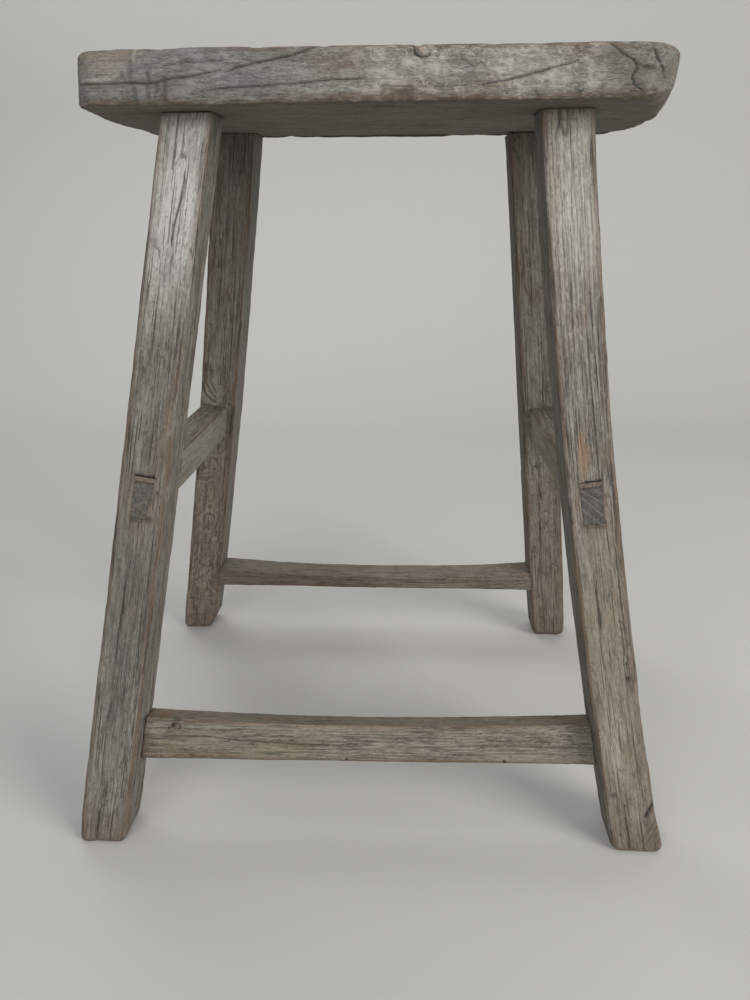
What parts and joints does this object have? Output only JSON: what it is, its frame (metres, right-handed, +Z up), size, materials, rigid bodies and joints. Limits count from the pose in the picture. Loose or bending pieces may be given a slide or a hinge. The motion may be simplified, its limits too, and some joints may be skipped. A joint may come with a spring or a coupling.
{
  "type": "milking stool",
  "caption": "Weathered hardwood milking stool: a thick plank seat with bowed ends on splayed square legs, tied by stretchers with wedged through tenons.",
  "frame": {"origin": "middle of the stool's bounding box on the floor plane, under the seat", "axes": "+Z up, X along the seat's length with the front seen from -Y, Y across the seat from front to back"},
  "size_m": [0.4074, 0.3574, 0.5],
  "materials": {
    "seat_wood": "weathered grey-brown elm, dry and unfinished, with checks along the grain",
    "leg_wood": "weathered grey-brown elm, dry, edges rubbed warm brown",
    "stretcher_wood": "weathered grey-brown elm, dry, worn by feet",
    "wedge_wood": "dark end grain and hardwood wedges, dry"
  },
  "bodies": {
    "root": {"leg_front_left": "leg_wood", "leg_front_right": "leg_wood", "leg_rear_left": "leg_wood", "leg_rear_right": "leg_wood", "seat": "seat_wood", "stretcher_front": "stretcher_wood", "stretcher_left": "stretcher_wood", "stretcher_rear": "stretcher_wood", "stretcher_right": "stretcher_wood", "wedge_front_at_front_left": "wedge_wood", "wedge_front_at_front_right": "wedge_wood", "wedge_left_at_front_left": "wedge_wood", "wedge_left_at_rear_left": "wedge_wood", "wedge_rear_at_rear_left": "wedge_wood", "wedge_rear_at_rear_right": "wedge_wood", "wedge_right_at_front_right": "wedge_wood", "wedge_right_at_rear_right": "wedge_wood", "wedge_seat_front_left": "wedge_wood", "wedge_seat_front_right": "wedge_wood", "wedge_seat_rear_left": "wedge_wood", "wedge_seat_rear_right": "wedge_wood"}
  },
  "joints": []
}
